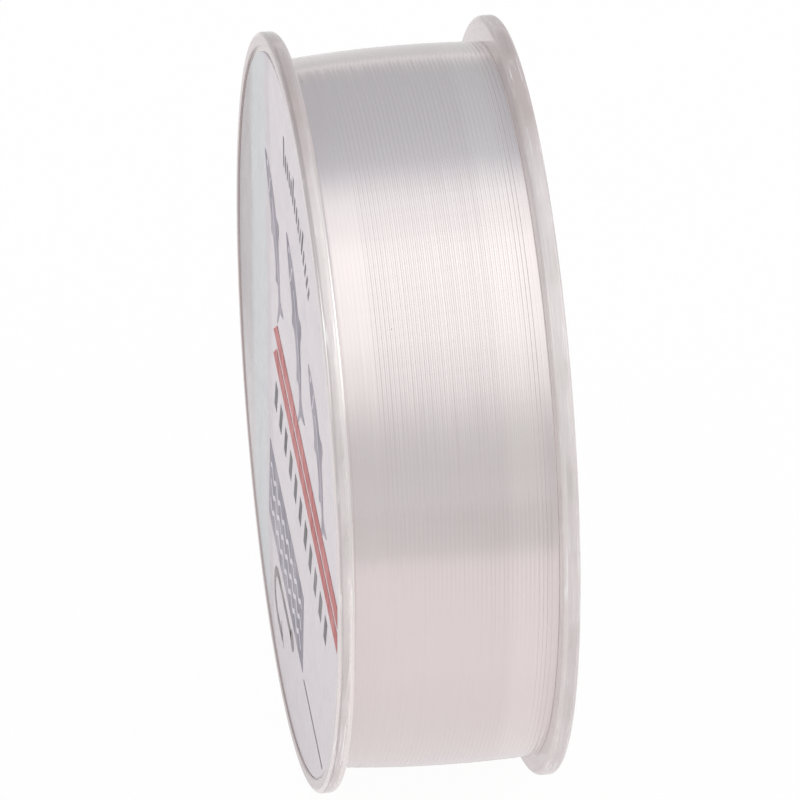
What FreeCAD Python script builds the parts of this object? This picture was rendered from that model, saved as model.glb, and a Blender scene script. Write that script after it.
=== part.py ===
import FreeCAD, Part
import math
import os
import Sketcher

# Fishing line spool: two clear mouldings pressed together, the wound line and a printed label.
# The axis runs along Y through the origin, which is the middle of the spool. The front face,
# with the label, looks along -Y, and the spool stands on its two rims with +Z up.

doc = FreeCAD.newDocument("FishingLineSpool")

# Driving sizes, in millimetres and counts.
# In the profiles below, x is the radius and y is the distance from the plane of the front rim.
SIZES = (
    ("flange_dia", 70.0, "outside diameter of both flanges"),
    ("spool_width", 21.8, "from the front rim's face to the rear rim's face"),
    ("flange_wall", 1.6, "thickness of a flange at its rim"),
    ("rim_round", 0.55, "rounding of the rim's two edges"),
    ("recess_depth", 0.25, "depth of the label recess"),
    ("recess_gap", 0.3, "room round the label in its recess"),
    ("label_margin", 1.6, "clear ring between the label's edge and the rim's"),
    ("label_wall", 0.12, "thickness of the label"),
    ("label_drop", 0.2, "how far the label was stuck below the centre"),
    ("arbor_bore", 10.0, "diameter of the hole for the arbor"),
    ("mouth_chamfer", 0.4, "lead-in at the rear mouth of the hole"),
    ("hub_wall", 1.8, "wall of the hub tube"),
    ("line_below_rim", 2.05, "how far the wound line's crown lies below the rims"),
    ("line_depth", 7.95, "depth of the wound line on the drum, at its crown"),
    ("drum_wall", 1.5, "wall of the drum"),
    ("web_count", 6, "webs between the hub and the drum"),
    ("web_wall", 1.2, "thickness of a web"),
    ("spigot_depth", 4.0, "how far the front moulding's spigot enters the drum"),
    ("spigot_wall", 1.4, "wall of the spigot"),
    ("boss_depth", 3.0, "depth of the boss round the hub's front end"),
    ("boss_wall", 1.4, "wall of the boss"),
    ("push_gap", 0.03, "radial gap of the spigot in the drum and of the boss on the hub"),
    ("web_gap", 0.5, "room between the spigot's end and the webs"),
    ("line_dia", 0.37, "diameter of the line"),
    ("front_fall", 0.45, "how far the winding falls away towards the front flange"),
    ("rear_fall", 0.15, "how far it falls away towards the rear flange"),
    ("turn_gap", 0.42, "least gap between two turns of the outer layer"),
    ("turn_seat", 0.03, "gap between the outer layer and the layers below"),
    ("turn_end_gap", 0.1, "gap between the last turns and the flanges"),
    ("turn_limit", 16, "most turns in the outer layer"),
)

sheet = doc.addObject("Spreadsheet::Sheet", "Sizes")
for row, (alias, value, note) in enumerate(SIZES, start=1):
    sheet.set(f"A{row}", alias)
    sheet.set(f"B{row}", str(value))
    sheet.set(f"C{row}", note)
    sheet.setAlias(f"B{row}", alias)
doc.recompute()


def number(expression):
    """The value of an expression in the sheet's sizes."""
    return float(sheet.evalExpression(expression))


def point(at):
    """A point of the XY plane from two expressions."""
    return FreeCAD.Vector(number(at[0]), number(at[1]), 0)


def new_body(name):
    """A body whose profile starts at the front rim, placed with its middle at the origin."""
    body = doc.addObject("PartDesign::Body", name)
    body.Label = name
    body.setExpression("Placement.Base.y", "-Sizes.spool_width / 2")
    return body


def origin_feature(body, role):
    """One of the body's own planes or axes."""
    return next(item for item in body.Origin.OriginFeatures if item.Role == role)


def pin_vertex(sketch, side, end, at):
    """Ties one end of a side to its place, both ways, by the sheet."""
    for kind, expression in zip(("DistanceX", "DistanceY"), at):
        value = number(expression)
        index = sketch.addConstraint(Sketcher.Constraint(kind, -1, 1, side, end, value))
        sketch.setExpression(f"Constraints[{index}]", expression)


def closed_profile(body, name, corners, crowns=None):
    """A closed outline through corners, with an arc where crowns gives a point it passes."""
    crowns = crowns or {}
    sketch = body.newObject("Sketcher::SketchObject", name)
    sketch.AttachmentSupport = [(origin_feature(body, "XY_Plane"), "")]
    sketch.MapMode = "FlatFace"
    starts, ends = [], []
    for index, corner in enumerate(corners):
        first, last = point(corner), point(corners[(index + 1) % len(corners)])
        if index in crowns:
            arc = Part.Arc(first, point(crowns[index]), last)
            side = sketch.addGeometry(arc, False)
            turned_round = sketch.Geometry[side].StartPoint.distanceToPoint(first) > 1e-6
            starts.append((side, 2 if turned_round else 1))
            ends.append((side, 1 if turned_round else 2))
            crown = sketch.addGeometry(Part.Point(point(crowns[index])), True)
            sketch.addConstraint(Sketcher.Constraint("PointOnObject", crown, 1, side))
            pin_vertex(sketch, crown, 1, crowns[index])
        else:
            side = sketch.addGeometry(Part.LineSegment(first, last), False)
            starts.append((side, 1))
            ends.append((side, 2))
    for index, corner in enumerate(corners):
        joined = starts[(index + 1) % len(corners)]
        sketch.addConstraint(Sketcher.Constraint("Coincident", *ends[index], *joined))
        pin_vertex(sketch, *starts[index], corner)
    return sketch


def turned(body, name, corners, crowns=None):
    """The outline turned once round the spool's axis."""
    sketch = closed_profile(body, name + "_profile", corners, crowns)
    revolution = body.newObject("PartDesign::Revolution", name)
    revolution.Profile = sketch
    revolution.ReferenceAxis = (sketch, ["V_Axis"])
    revolution.Angle = 360
    sketch.Visibility = False
    doc.recompute()
    return revolution


def circle_edges(feature, places):
    """Names of the feature's full circles at the given pairs of radius and distance."""
    wanted = [(number(radius), number(along)) for radius, along in places]
    names = []
    for index, edge in enumerate(feature.Shape.Edges, start=1):
        if not isinstance(edge.Curve, Part.Circle):
            continue
        here = (edge.Curve.Radius, edge.Curve.Center.y)
        if any(math.dist(here, spot) < 1e-4 for spot in wanted):
            names.append(f"Edge{index}")
    return names


def dress(body, kind, name, base, size, places):
    """A fillet or chamfer along circles of the base feature."""
    feature = body.newObject(kind, name)
    feature.Base = (base, circle_edges(base, places))
    prop = "Radius" if kind == "PartDesign::Fillet" else "Size"
    feature.setExpression(prop, size)
    doc.recompute()
    return feature


# Places that the two mouldings share.
FLANGE_R = "Sizes.flange_dia / 2"
LABEL_R = FLANGE_R + " - Sizes.label_margin"
RECESS_R = LABEL_R + " + Sizes.recess_gap"
BORE_R = "Sizes.arbor_bore / 2"
HUB_R = BORE_R + " + Sizes.hub_wall"
WINDING_R = FLANGE_R + " - Sizes.line_below_rim"
DRUM_R = WINDING_R + " - Sizes.line_depth"
DRUM_BORE_R = DRUM_R + " - Sizes.drum_wall"
FRONT_INNER = "Sizes.flange_wall"
REAR_INNER = "Sizes.spool_width - Sizes.flange_wall"
REAR_FACE = "Sizes.spool_width"
REAR_RECESS = "Sizes.spool_width - Sizes.recess_depth"


def make_rear_half():
    """Rear flange, drum, hub and webs, moulded in one piece."""
    body = new_body("rear_half")
    barrel = turned(body, "flange_drum_hub", [
        (BORE_R, FRONT_INNER),
        (HUB_R, FRONT_INNER),
        (HUB_R, REAR_INNER),
        (DRUM_BORE_R, REAR_INNER),
        (DRUM_BORE_R, FRONT_INNER),
        (DRUM_R, FRONT_INNER),
        (DRUM_R, REAR_INNER),
        (FLANGE_R, REAR_INNER),
        (FLANGE_R, REAR_FACE),
        (RECESS_R, REAR_FACE),
        (RECESS_R, REAR_RECESS),
        (BORE_R, REAR_RECESS),
    ])
    rim = dress(body, "PartDesign::Fillet", "rim_rounding", barrel, "Sizes.rim_round",
                [(FLANGE_R, REAR_INNER), (FLANGE_R, REAR_FACE)])
    dress(body, "PartDesign::Chamfer", "bore_mouth", rim, "Sizes.mouth_chamfer",
          [(BORE_R, REAR_RECESS)])
    web_inner = BORE_R + " + Sizes.hub_wall / 2"
    web_outer = DRUM_R + " - Sizes.drum_wall / 2"
    web_front = "Sizes.flange_wall + max(Sizes.spigot_depth; Sizes.boss_depth) + Sizes.web_gap"
    web_rear = "Sizes.spool_width - Sizes.flange_wall / 2 - Sizes.recess_depth / 2"
    outline = closed_profile(body, "web_profile", [
        (web_inner, web_front),
        (web_outer, web_front),
        (web_outer, web_rear),
        (web_inner, web_rear),
    ])
    web = body.newObject("PartDesign::Pad", "web")
    web.Profile = outline
    web.SideType = "Symmetric"
    web.setExpression("Length", "Sizes.web_wall")
    outline.Visibility = False
    doc.recompute()
    webs = body.newObject("PartDesign::PolarPattern", "webs")
    webs.Originals = [web]
    webs.Axis = (origin_feature(body, "Y_Axis"), [""])
    webs.Angle = 360
    webs.setExpression("Occurrences", "Sizes.web_count")
    body.Tip = webs
    doc.recompute()
    return body


def make_front_half():
    """Front flange with the spigot that fills the drum's end and the boss round the hub."""
    body = new_body("front_half")
    spigot_r = DRUM_BORE_R + " - Sizes.push_gap"
    spigot_inner_r = spigot_r + " - Sizes.spigot_wall"
    spigot_end = "Sizes.flange_wall + Sizes.spigot_depth"
    boss_inner_r = HUB_R + " + Sizes.push_gap"
    boss_r = boss_inner_r + " + Sizes.boss_wall"
    boss_end = "Sizes.flange_wall + Sizes.boss_depth"
    flange = turned(body, "flange_spigot_boss", [
        (BORE_R, "Sizes.recess_depth"),
        (RECESS_R, "Sizes.recess_depth"),
        (RECESS_R, "0"),
        (FLANGE_R, "0"),
        (FLANGE_R, FRONT_INNER),
        (spigot_r, FRONT_INNER),
        (spigot_r, spigot_end),
        (spigot_inner_r, spigot_end),
        (spigot_inner_r, FRONT_INNER),
        (boss_r, FRONT_INNER),
        (boss_r, boss_end),
        (boss_inner_r, boss_end),
        (boss_inner_r, FRONT_INNER),
        (BORE_R, FRONT_INNER),
    ])
    dress(body, "PartDesign::Fillet", "rim_rounding_front", flange, "Sizes.rim_round",
          [(FLANGE_R, "0"), (FLANGE_R, FRONT_INNER)])
    return body


# The winding's crowned outline: the surface of the layers under the outer turns.
CORE_R = WINDING_R + " - Sizes.line_dia - Sizes.turn_seat"
CORE_FRONT = (CORE_R + " - Sizes.front_fall", FRONT_INNER)
CORE_CROWN = (CORE_R, "Sizes.spool_width / 2")
CORE_REAR = (CORE_R + " - Sizes.rear_fall", REAR_INNER)


def make_inner_line():
    """All layers of line below the outer one, as a plain crowned sleeve on the drum."""
    body = new_body("inner_line")
    turned(body, "layers", [
        (DRUM_R, FRONT_INNER),
        CORE_FRONT,
        CORE_REAR,
        (DRUM_R, REAR_INNER),
    ], crowns={1: CORE_CROWN})
    return body


def make_front_label():
    """The printed disc, stuck on the floor of the front recess."""
    label = doc.addObject("Part::Cylinder", "front_label")
    label.Label = "front_label"
    label.setExpression("Radius", LABEL_R)
    label.setExpression("Height", "Sizes.label_wall")
    label.Placement.Rotation = FreeCAD.Rotation(FreeCAD.Vector(1, 0, 0), -90)
    label.setExpression("Placement.Base.y",
                        "-Sizes.spool_width / 2 + Sizes.recess_depth - Sizes.label_wall")
    label.setExpression("Placement.Base.z", "-Sizes.label_drop")
    return label


def biarc(start, start_way, end, end_way):
    """Two arcs from start to end, tangent to both ways and to each other."""
    across = end - start
    ways = start_way + end_way
    spare = 4 - ways.dot(ways)
    lean = across.dot(ways)
    reach = (math.sqrt(lean ** 2 + spare * across.dot(across)) - lean) / spare
    corner_in = start + start_way * reach
    corner_out = end - end_way * reach
    middle = (corner_in + corner_out) * 0.5
    edges = []
    for first, corner, last in ((start, corner_in, middle), (middle, corner_out, end)):
        chord = (first + last) * 0.5
        half_turn = math.asin(corner.distanceToPoint(chord) / reach)
        rise = first.distanceToPoint(chord) * math.tan(half_turn / 2)
        on_arc = chord + (corner - chord).normalize() * rise
        edges.append(Part.Edge(Part.Arc(first, on_arc, last)))
    return edges


def winding_radius():
    """Radius of the outer layer's centre line, as a function of the place along the axis."""
    arc = Part.Arc(point(CORE_FRONT), point(CORE_CROWN), point(CORE_REAR))
    circle = Part.Edge(arc).Curve
    centre, radius = circle.Center, circle.Radius
    stand_off = number("Sizes.line_dia / 2 + Sizes.turn_seat")

    def radius_at(along):
        return centre.x + math.sqrt(radius ** 2 - (along - centre.y) ** 2) + stand_off

    return radius_at


def least_gap(wire, turns, thickness):
    """The least gap of the wound tube to itself, from points along its centre line."""
    steps = 48
    points = wire.discretize(turns * steps + 1)
    least = math.inf
    for index, here in enumerate(points):
        for later in points[index + steps // 2:index + 2 * steps]:
            least = min(least, here.distanceToPoint(later))
    return least - thickness


def make_outer_turns():
    """The outer layer: one unbroken tube in even turns, cut square at both ends."""
    thickness = number("Sizes.line_dia")
    radius_at = winding_radius()
    margin = number("Sizes.line_dia / 2 + Sizes.turn_end_gap")
    first = number(FRONT_INNER) + margin
    travel = number(REAR_INNER) - margin - first
    pitch_wanted = thickness + number("Sizes.turn_gap")
    turns = min(int(number("Sizes.turn_limit")), int(travel / pitch_wanted))
    quarters = 4 * turns

    def centre_line(share):
        """The place and the way of the centre line, share 0 to 1 along it."""
        angle = 2 * math.pi * turns * share
        along = first + travel * share
        radius = radius_at(along)
        step = travel / (2 * math.pi * turns)
        slope = (radius_at(along + 1e-3) - radius_at(along - 1e-3)) / 2e-3 * step
        place = FreeCAD.Vector(radius * math.sin(angle), along, -radius * math.cos(angle))
        way = FreeCAD.Vector(
            radius * math.cos(angle) + slope * math.sin(angle),
            step,
            radius * math.sin(angle) - slope * math.cos(angle),
        ).normalize()
        return place, way

    stations = [centre_line(index / quarters) for index in range(quarters + 1)]
    (start, start_way), (end, end_way) = stations[0], stations[-1]
    edges = [Part.Edge(Part.LineSegment(start - start_way * thickness, start))]
    for (here, way), (after, way_after) in zip(stations, stations[1:]):
        edges += biarc(here, way, after, way_after)
    edges.append(Part.Edge(Part.LineSegment(end, end + end_way * thickness)))
    path = Part.Wire(edges)
    section = Part.Circle(start - start_way * thickness, start_way, thickness / 2)
    tube = path.makePipeShell([Part.Wire(Part.Edge(section))], True, False)
    if tube.ShapeType != "Solid":
        tube = tube.Solids[0]
    expected = math.pi * thickness ** 2 / 4 * path.Length
    print(f"outer_turns: {turns} turns, pitch {travel / turns:.4f} mm, "
          f"length {path.Length:.1f} mm, volume {tube.Volume:.2f} of {expected:.2f} mm3")
    print(f"outer_turns: least gap to itself {least_gap(path, turns, thickness):.4f} mm")
    feature = doc.addObject("Part::Feature", "outer_turns")
    feature.Label = "outer_turns"
    feature.Shape = tube
    feature.Placement = FreeCAD.Placement(
        FreeCAD.Vector(0, number("-Sizes.spool_width / 2"), 0), FreeCAD.Rotation())
    return feature


parts = [
    make_rear_half(),
    make_front_half(),
    make_inner_line(),
    make_outer_turns(),
    make_front_label(),
]
doc.recompute()

for item in doc.Objects:
    if "Invalid" in item.State or "Error" in item.State:
        raise RuntimeError(f"{item.Name} failed: {item.State}")
for part in parts:
    if part.Shape.isNull() or not part.Shape.isValid() or not part.Shape.Solids:
        raise RuntimeError(f"{part.Label} has no valid solid")

os.makedirs("parts", exist_ok=True)
for part in parts:
    box = part.Shape.BoundBox
    part.Shape.exportStep(f"parts/{part.Label}.step")
    print(f"{part.Label}: {len(part.Shape.Solids)} solid, {part.Shape.Volume:.1f} mm3, "
          f"x {box.XMin:.2f} to {box.XMax:.2f}, y {box.YMin:.2f} to {box.YMax:.2f}, "
          f"z {box.ZMin:.2f} to {box.ZMax:.2f}")
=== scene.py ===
import math

import bmesh
import bpy
from mathutils import Matrix, Vector


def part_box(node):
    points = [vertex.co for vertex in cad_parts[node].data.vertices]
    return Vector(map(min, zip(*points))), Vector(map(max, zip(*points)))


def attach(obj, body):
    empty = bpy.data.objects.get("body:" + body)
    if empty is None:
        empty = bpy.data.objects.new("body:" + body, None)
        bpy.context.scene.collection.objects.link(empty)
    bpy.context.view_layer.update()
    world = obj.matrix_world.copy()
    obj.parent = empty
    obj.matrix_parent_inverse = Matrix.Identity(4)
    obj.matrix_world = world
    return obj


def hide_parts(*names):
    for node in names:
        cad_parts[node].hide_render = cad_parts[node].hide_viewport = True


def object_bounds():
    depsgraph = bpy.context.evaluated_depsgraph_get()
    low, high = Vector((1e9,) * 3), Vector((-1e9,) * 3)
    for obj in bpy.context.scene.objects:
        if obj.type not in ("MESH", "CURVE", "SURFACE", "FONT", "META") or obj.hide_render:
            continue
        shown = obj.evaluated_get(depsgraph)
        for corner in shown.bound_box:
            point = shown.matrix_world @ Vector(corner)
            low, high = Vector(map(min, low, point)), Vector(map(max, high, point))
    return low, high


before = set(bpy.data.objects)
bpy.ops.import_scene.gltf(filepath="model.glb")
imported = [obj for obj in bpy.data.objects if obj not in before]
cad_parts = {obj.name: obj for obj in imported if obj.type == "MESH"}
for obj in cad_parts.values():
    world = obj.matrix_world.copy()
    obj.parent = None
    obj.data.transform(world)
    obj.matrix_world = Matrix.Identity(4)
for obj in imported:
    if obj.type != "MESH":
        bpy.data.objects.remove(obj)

cad_box = [list(corner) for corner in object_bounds()]


# Rear moulding: the rear flange, the barrel that the line is wound on, the hub and six
# webs, shot in one piece of clear polystyrene. The mould leaves its faces polished, and
# handling has worn the rim and the outer margins milky. The rims carry painted highlights
# on their edges, painted glitter, painted reflection patches and painted shade.
MM = 0.001
LATHE_STEPS = 288
ROUND_STEPS = 7
SHARP_ANGLE = math.radians(32)

rear_low, rear_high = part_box("rear_half")
FLANGE_R = rear_high.x
FACE_Y = rear_high.y
INNER_Y = -rear_low.y
RIM_ROUND = 0.55 * MM
FACE_ROUND = 0.4 * MM
RECESS_R = 33.7 * MM
RECESS_DEPTH = 0.25 * MM
RECESS_LIP = 0.12 * MM
RECESS_FOOT = 0.08 * MM
BORE_R = 5.0 * MM
MOUTH = 0.4 * MM
HUB_R = 6.8 * MM
DRUM_R = 25.0 * MM
DRUM_BORE_R = 23.5 * MM
TUBE_END_ROUND = 0.1 * MM
FOOT_ROUND = 0.25 * MM
WEB_COUNT = 6
WEB_WALL = 1.2 * MM
WEB_FRONT_Y = -4.8 * MM
FIT = 0.03 * MM
FROST_START_R = FLANGE_R - 0.9 * MM
FROST_FULL_R = FLANGE_R - 0.3 * MM
INNER_FROST_R = 32.1 * MM
# The rims' painted highlight: the rim's middle, where the highlight starts and is full, how much
# its width wavers, and how far it reaches raggedly on the front rim's inner edge.
EDGE_MIDDLE_Y = (INNER_Y + FACE_Y) / 2 + 0.14 * MM
EDGE_START = 0.32 * MM
EDGE_FULL = 0.54 * MM
EDGE_WAVER = 0.1 * MM
RAGGED_HIGHLIGHT_REACH = 0.34 * MM


def rounded_outline(corners):
    """The closed outline through (r, y, radius) corners, with an arc at each radius."""
    outline = []
    for index, (r, y, radius) in enumerate(corners):
        here = Vector((r, y))
        if radius == 0:
            outline.append(here)
            continue
        before = Vector(corners[index - 1][:2])
        after = Vector(corners[(index + 1) % len(corners)][:2])
        back, on = (before - here).normalized(), (after - here).normalized()
        half = back.angle(on) / 2
        centre = here + (back + on).normalized() * radius / math.sin(half)
        start = here + back * radius / math.tan(half) - centre
        turn = (math.pi - 2 * half) * (1 if back.cross(on) < 0 else -1)
        for step in range(ROUND_STEPS + 1):
            outline.append(centre + Matrix.Rotation(turn * step / ROUND_STEPS, 2) @ start)
    return outline


def plain_mesh(mesh, name, in_triangles=False):
    """The mesh data of a finished bmesh, with its faces turned outward."""
    bmesh.ops.recalc_face_normals(mesh, faces=mesh.faces)
    if in_triangles:
        bmesh.ops.triangulate(mesh, faces=mesh.faces)
    mesh_data = bpy.data.meshes.new(name)
    mesh.to_mesh(mesh_data)
    mesh.free()
    return mesh_data


def finish_mesh(name, mesh_data, material, sharp=SHARP_ANGLE):
    """An object of this mesh, shaded smooth but for its sharp edges, with its material."""
    mesh_data.shade_smooth()
    mesh_data.set_sharp_from_angle(angle=sharp)
    mesh_data.materials.clear()
    mesh_data.materials.append(material)
    piece = bpy.data.objects.new(name, mesh_data)
    bpy.context.scene.collection.objects.link(piece)
    return piece


def lathe(name, outline, steps=LATHE_STEPS):
    """The closed solid that a closed outline of (r, y) points sweeps round the Y axis."""
    mesh = bmesh.new()
    rings = []
    for step in range(steps):
        angle = 2 * math.pi * step / steps
        rings.append([
            mesh.verts.new((p[0] * math.cos(angle), p[1], p[0] * math.sin(angle)))
            for p in outline
        ])
    for index, ring in enumerate(rings):
        following = rings[(index + 1) % steps]
        for at in range(len(outline)):
            on = (at + 1) % len(outline)
            mesh.faces.new((ring[at], ring[on], following[on], following[at]))
    return plain_mesh(mesh, name)


def new_tree(name):
    """An empty geometry tree with a geometry input and output."""
    tree = bpy.data.node_groups.new(name, "GeometryNodeTree")
    tree.interface.new_socket("Geometry", in_out="INPUT", socket_type="NodeSocketGeometry")
    tree.interface.new_socket("Geometry", in_out="OUTPUT", socket_type="NodeSocketGeometry")
    return tree, tree.nodes.new("NodeGroupInput"), tree.nodes.new("NodeGroupOutput")


def named_inputs(tree, kind, *names):
    """Adds named inputs of one kind to a geometry tree."""
    for name in names:
        tree.interface.new_socket(name, in_out="INPUT", socket_type="NodeSocket" + kind)


def add(tree, kind, inputs=None, **settings):
    """Adds a node. Its inputs are given by name or number, as values or as sockets."""
    node = tree.nodes.new(kind)
    for name, value in settings.items():
        setattr(node, name, value)
    for name, value in (inputs or {}).items():
        if isinstance(value, bpy.types.NodeSocket):
            tree.links.new(value, node.inputs[name])
        else:
            node.inputs[name].default_value = value
    return node


def evaluated(piece, tree, values):
    """The plain mesh that a geometry tree makes of this piece with these named values."""
    modifier = piece.modifiers.new(tree.name, "NODES")
    modifier.node_group = tree
    for socket in tree.interface.items_tree:
        if socket.in_out == "INPUT" and socket.name in values:
            modifier[socket.identifier] = values[socket.name]
    graph = bpy.context.evaluated_depsgraph_get()
    made = bpy.data.meshes.new_from_object(piece.evaluated_get(graph))
    piece.modifiers.remove(modifier)
    bpy.data.objects.remove(piece)
    return made


def colour(red, green, blue):
    """A colour given as it looks on a screen, 0 to 255, as a shader's linear colour."""
    linear = []
    for part in (red, green, blue):
        share = part / 255
        linear.append(share / 12.92 if share <= 0.04045 else ((share + 0.055) / 1.055) ** 2.4)
    return (*linear, 1.0)


def new_material(name):
    """A material, its node tree and its shader."""
    material = bpy.data.materials.new(name)
    material.use_nodes = True
    return material, material.node_tree, material.node_tree.nodes["Principled BSDF"]


def noise(tree, vector, scale, detail=3.0, roughness=0.5):
    """The value of a noise texture, 0 to 1."""
    settings = {"Vector": vector, "Scale": scale, "Detail": detail, "Roughness": roughness}
    return add(tree, "ShaderNodeTexNoise", settings).outputs["Fac"]


def span(tree, value, low, high, out_low, out_high):
    """Maps a value from one range to another, held at its ends."""
    settings = {"Value": value, "From Min": low, "From Max": high,
                "To Min": out_low, "To Max": out_high}
    return add(tree, "ShaderNodeMapRange", settings).outputs["Result"]


def blend(tree, factor, first, second, mode="MIX"):
    """Mixes two colours."""
    node = add(tree, "ShaderNodeMix", data_type="RGBA", blend_type=mode)
    for index, value in ((0, factor), (6, first), (7, second)):
        if isinstance(value, bpy.types.NodeSocket):
            tree.links.new(value, node.inputs[index])
        else:
            node.inputs[index].default_value = value
    return node.outputs[2]


def bump(tree, height, strength, distance, onto=None):
    """A bump normal from a height, on top of another normal if one is given."""
    settings = {"Height": height, "Strength": strength, "Distance": distance}
    if onto is not None:
        settings["Normal"] = onto
    return add(tree, "ShaderNodeBump", settings).outputs["Normal"]


def calculated(tree, operation, first, second=0.0):
    """The result of a Math node on two values or sockets."""
    return add(tree, "ShaderNodeMath", {0: first, 1: second}, operation=operation).outputs[0]


def product(tree, first, *others):
    """Values or sockets multiplied together, in this order."""
    for other in others:
        first = calculated(tree, "MULTIPLY", first, other)
    return first


def object_place(tree):
    """A piece's own coordinates: the place, its three axes and the way round the spool."""
    place = add(tree, "ShaderNodeTexCoord").outputs["Object"]
    axes = add(tree, "ShaderNodeSeparateXYZ", {"Vector": place}).outputs
    angle = calculated(tree, "ARCTAN2", axes["Z"], axes["X"])
    round_way = add(tree, "ShaderNodeCombineXYZ",
                    {"X": product(tree, angle, MM), "Y": axes["Y"]}).outputs[0]
    return place, axes, round_way


def off_axis(tree, place):
    """The distance from the spool's axis."""
    flat = add(tree, "ShaderNodeVectorMath", {0: place, 1: (1.0, 0.0, 1.0)}, operation="MULTIPLY")
    return add(tree, "ShaderNodeVectorMath", {0: flat.outputs[0]},
               operation="LENGTH").outputs["Value"]


def clear_styrene():
    """Clear polystyrene, worn milky on its rims and margins, with painted highlights on its edges,
    painted glitter, painted reflection patches and painted shade.
    """
    material, tree, shader = new_material("clear_styrene")
    place, axes, round_way = object_place(tree)
    radius = off_axis(tree, place)
    depth = calculated(tree, "ABSOLUTE", axes["Y"])
    on_front = span(tree, axes["Y"], -1 * MM, 1 * MM, 1, 0)
    rear_weaker = span(tree, axes["Y"], -1 * MM, 1 * MM, 1, 0.5)
    flow = noise(tree, place, 90.0, 2.0)
    haze = noise(tree, place, 420.0, 4.0)
    patches = noise(tree, place, 110.0, 4.0)
    fine_streaks = noise(tree, round_way, 7000.0, 3.0)

    # The worn places: the rim, the ring round the recess and the inner faces' margins.
    reach = calculated(tree, "ADD", radius, span(tree, haze, 0.3, 0.7, 0, 0.6 * MM))
    on_rim = span(tree, reach, FROST_START_R, FROST_FULL_R, 0, 1)
    on_ring = product(
        tree, span(tree, axes["Y"], -FACE_Y + 0.45 * MM, -FACE_Y + 0.3 * MM, 0, 1),
        span(tree, radius, RECESS_R - 0.5 * MM, RECESS_R - 0.35 * MM, 0, 1))
    on_inner_face = product(
        tree, span(tree, depth, INNER_Y + 0.15 * MM, INNER_Y + 0.3 * MM, 1, 0),
        span(tree, radius, INNER_FROST_R, INNER_FROST_R + 0.4 * MM, 0, 1))
    worn = calculated(tree, "MAXIMUM", calculated(tree, "MAXIMUM", on_rim, on_ring),
                      on_inner_face)

    # The rims' two edges carry a painted highlight, a lighter colour and a more mirror-like face,
    # widest and most ragged on the front rim's inner edge, weaker on the rear rim and fading near
    # the top.
    waver = span(tree, noise(tree, round_way, 2600.0, 3.0), 0.3, 0.7, -EDGE_WAVER, EDGE_WAVER)
    front_inner_highlight = product(
        tree, span(tree, axes["Y"], -EDGE_MIDDLE_Y, -EDGE_MIDDLE_Y + 0.05 * MM, 0, 1), on_front)
    ragged_highlight_reach = span(tree, noise(tree, round_way, 11000.0, 4.0, 0.6), 0.42, 0.62, 0, RAGGED_HIGHLIGHT_REACH)
    from_middle = calculated(tree, "ABSOLUTE",
                             calculated(tree, "SUBTRACT", depth, EDGE_MIDDLE_Y))
    from_middle = calculated(tree, "ADD", from_middle, waver)
    from_middle = calculated(tree, "ADD", from_middle, product(tree, front_inner_highlight, ragged_highlight_reach))
    edge = product(tree, span(tree, from_middle, EDGE_START, EDGE_FULL, 0, 1),
                   span(tree, radius, FLANGE_R - 0.5 * MM, FLANGE_R - 0.3 * MM, 0, 1),
                   rear_weaker, span(tree, axes["Z"], 24 * MM, 31 * MM, 1, 0.35))
    # Scuffs near the outer edge, painted near white as glitter highlights.
    scuffs_and_glitter = product(tree, span(tree, patches, 0.5, 0.42, 0, 1),
                    span(tree, fine_streaks, 0.56, 0.62, 0, 1),
                    span(tree, radius, FLANGE_R - 0.4 * MM, FLANGE_R - 0.2 * MM, 0, 1))
    # Painted reflections of the room: dull grey patches on the worn places.
    patchy_reflection = product(tree, span(tree, patches, 0.48, 0.62, 0, 0.6),
                   span(tree, fine_streaks, 0.35, 0.6, 0, 1))
    # Painted shade: the rims are darker where X is below 16 mm, fully below 5 mm, and towards the
    # bottom.
    painted_shade = calculated(tree, "ADD", span(tree, axes["X"], 5 * MM, 16 * MM, 1, 0),
                      span(tree, axes["Z"], -30 * MM, -18 * MM, 0.6, 0))

    clear_tint = blend(tree, flow, colour(253, 251, 251), colour(254, 253, 253))
    worn_tint_with_painted_light = blend(tree, flow, colour(222, 213, 213), colour(229, 220, 220))
    worn_tint_with_painted_light = blend(tree, patchy_reflection, worn_tint_with_painted_light, colour(196, 190, 188))
    worn_tint_with_painted_light = blend(tree, on_ring, worn_tint_with_painted_light, colour(200, 191, 191))
    worn_tint_with_painted_light = blend(tree, painted_shade, worn_tint_with_painted_light, (0.79, 0.73, 0.72, 1), "MULTIPLY")
    worn_tint_with_painted_light = blend(tree, edge, worn_tint_with_painted_light, colour(240, 233, 232))
    worn_tint_with_painted_light = blend(tree, scuffs_and_glitter, worn_tint_with_painted_light, colour(252, 250, 250))

    # A frosted face turns light back on its outer side and passes light that comes from inside.
    outer_side = calculated(tree, "SUBTRACT", 1.0,
                            add(tree, "ShaderNodeNewGeometry").outputs["Backfacing"])
    milky = product(tree, worn, outer_side)
    gleam = calculated(tree, "MAXIMUM", span(tree, edge, 0, 1, 0.12, 0.62),
                       span(tree, scuffs_and_glitter, 0, 1, 0.12, 0.4))
    mirror = product(tree, milky, product(tree, gleam, rear_weaker))

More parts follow.
